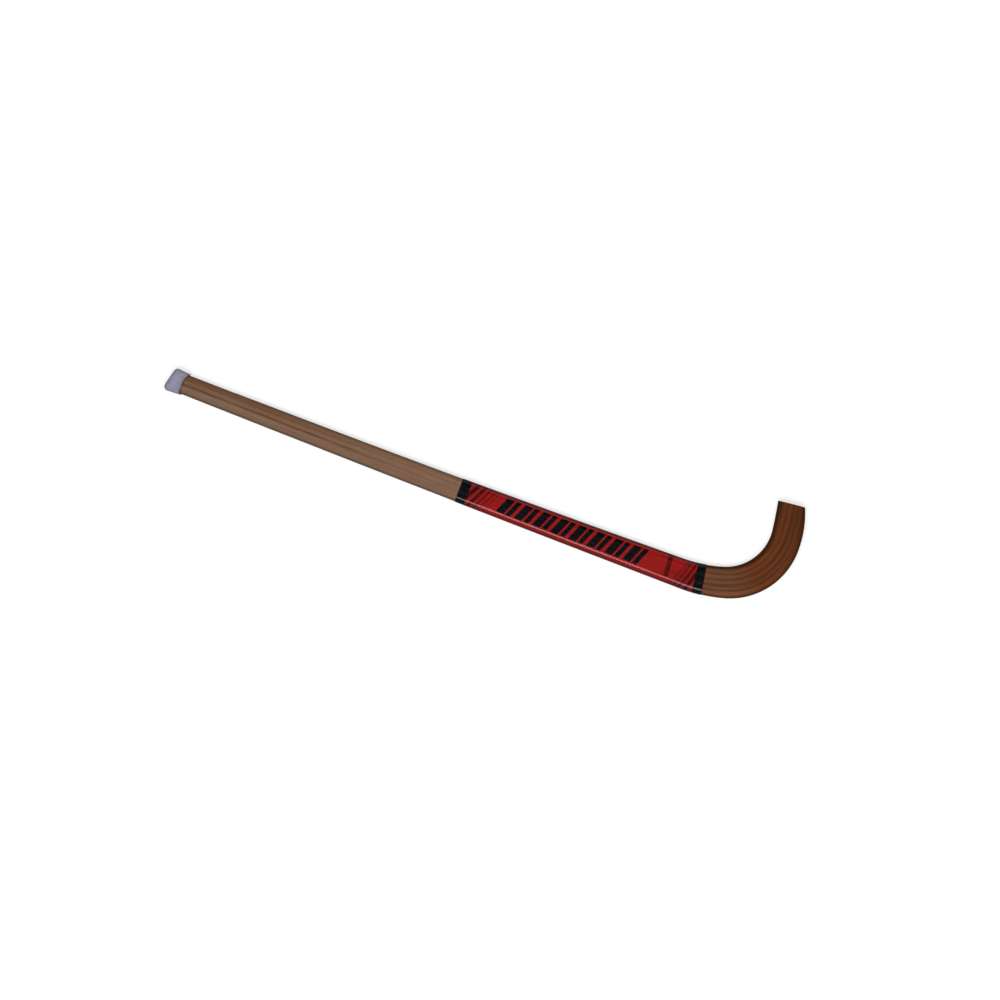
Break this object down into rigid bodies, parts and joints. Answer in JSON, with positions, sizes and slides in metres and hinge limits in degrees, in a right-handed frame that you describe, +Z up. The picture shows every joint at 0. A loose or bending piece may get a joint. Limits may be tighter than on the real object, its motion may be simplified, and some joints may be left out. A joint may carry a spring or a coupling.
{
  "type": "rink hockey stick",
  "caption": "Hockey stick of bent laminated wood with a rounded crook, a tapering flat-sided shaft, a printed film sleeve on the lower shaft and a push-on end cap.",
  "frame": {"origin": "middle of the ground that the stick covers when it lies on one flat side", "axes": "+X along the shaft from the butt to the crook, +Y towards the side that the toe curls to, +Z up, square to the flat sides"},
  "size_m": [0.972, 0.1796, 0.0216],
  "materials": {
    "wood": "varnished ash-like wood",
    "glue": "dark cured wood glue",
    "film": "glossy printed shrink film, red and black",
    "cap": "soft moulded plastic, off white"
  },
  "bodies": {
    "root": {"ply_1": "wood", "ply_2": "wood", "ply_3": "wood", "ply_4": "wood", "ply_5": "wood", "ply_6": "wood", "glue_line_1": "glue", "glue_line_2": "glue", "glue_line_3": "glue", "glue_line_4": "glue", "glue_line_5": "glue", "printed_sleeve": "film", "end_cap": "cap"}
  },
  "joints": []
}
